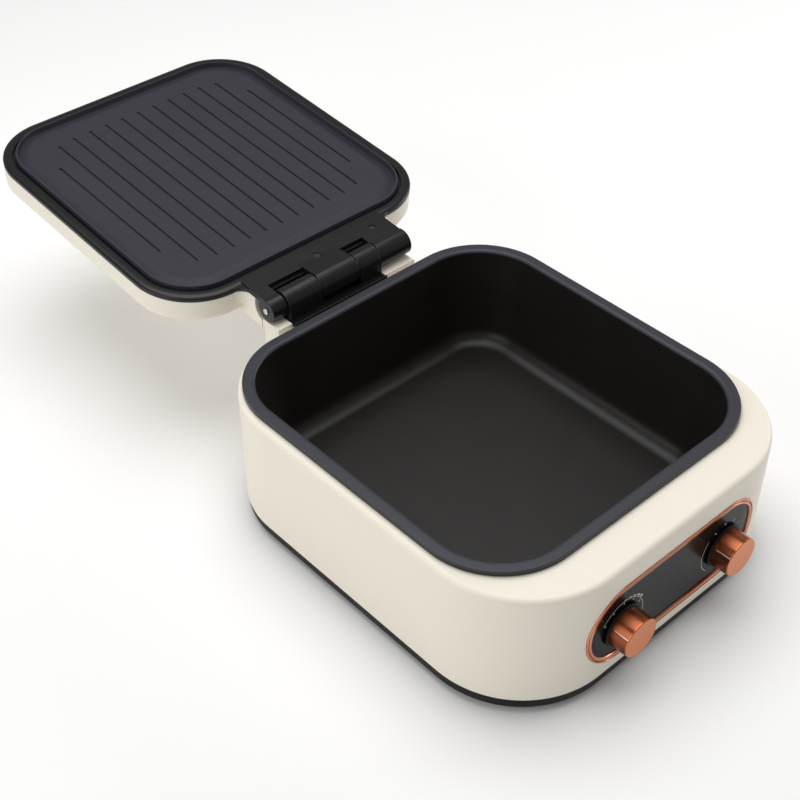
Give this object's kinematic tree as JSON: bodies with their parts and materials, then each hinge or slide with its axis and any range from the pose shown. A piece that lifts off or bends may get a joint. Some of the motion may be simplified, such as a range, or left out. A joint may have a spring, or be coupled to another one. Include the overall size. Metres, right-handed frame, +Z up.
{
  "type": "hot pot and grill combo",
  "caption": "Countertop electric hot pot: lift-out pot in a rounded housing, with a lid that swings back flat as a grooved grill plate.",
  "frame": {"origin": "centre of the underside of the bounding box with the lid open: the feet stand on z = 0", "axes": "+Z up, -Y the front with the knobs, +Y the back with the hinge and the open lid, +X to the right seen from the front"},
  "size_m": [0.276, 0.6282, 0.1517],
  "materials": {
    "cream_plastic": "satin cream",
    "black_plastic": "satin black",
    "gloss_black": "gloss charcoal",
    "rose_copper": "rose copper plating, satin",
    "pot_coating": "dark non-stick coating",
    "grill_coating": "matte dark blue-grey non-stick coating",
    "steel": "plain bright steel",
    "cast_aluminium": "as cast",
    "brass": "plain brass",
    "rubber": "matte black rubber",
    "wire_sleeve": "glass-fibre sleeve"
  },
  "bodies": {
    "base": {"housing_shell": "cream_plastic", "bottom_cover": "black_plastic", "control_trim": "rose_copper", "control_panel": "gloss_black", "switch_left": "black_plastic", "switch_right": "black_plastic", "pot_well": "steel", "heater_plate": "cast_aluminium", "heating_element": "steel", "sensor_guide": "steel", "thermal_fuse": "steel", "power_inlet": "black_plastic", "inlet_pin_left": "brass", "inlet_pin_right": "brass", "wiring_loom": "wire_sleeve", "foot_front_left": "rubber", "foot_front_right": "rubber", "foot_back_left": "rubber", "foot_back_right": "rubber", "cover_screw_1": "steel", "cover_screw_2": "steel", "cover_screw_3": "steel", "cover_screw_4": "steel", "hinge_bracket": "black_plastic", "hinge_pin": "steel"},
    "lid": {"lid_shell": "cream_plastic", "lid_liner": "black_plastic", "tab_screw_left": "steel", "tab_screw_right": "steel", "grill_plate": "grill_coating", "lid_element": "steel", "lid_heat_shield": "steel", "lid_thermostat": "cast_aluminium"},
    "pot": {"inner_pot": "pot_coating"},
    "sensor": {"temperature_sensor": "cast_aluminium"},
    "left_knob": {"knob_left": "rose_copper", "spindle_left": "steel"},
    "right_knob": {"knob_right": "rose_copper", "spindle_right": "steel"}
  },
  "joints": [
    {"name": "lid_hinge", "type": "hinge", "parent": "base", "child": "lid", "pos_m": [0, 0.02678, 0.118], "axis": [-1, 0, 0], "range_deg": [-175.3, 0]},
    {"name": "knob_left_turn", "type": "hinge", "parent": "base", "child": "left_knob", "pos_m": [-0.0495, -0.29822, 0.0505], "axis": [0, 1, 0], "range_deg": [0, 240]},
    {"name": "knob_right_turn", "type": "hinge", "parent": "base", "child": "right_knob", "pos_m": [0.0495, -0.29822, 0.0505], "axis": [0, 1, 0], "range_deg": [0, 240]},
    {"name": "pot_lift", "type": "slide", "parent": "base", "child": "pot", "axis": [0, 0, 1], "range_m": [0, 0.11]},
    {"name": "sensor_plunge", "type": "slide", "parent": "base", "child": "sensor", "axis": [0, 0, 1], "range_m": [-0.0015, 0], "stiffness_N_per_m": 300, "springref_m": 0.002}
  ]
}
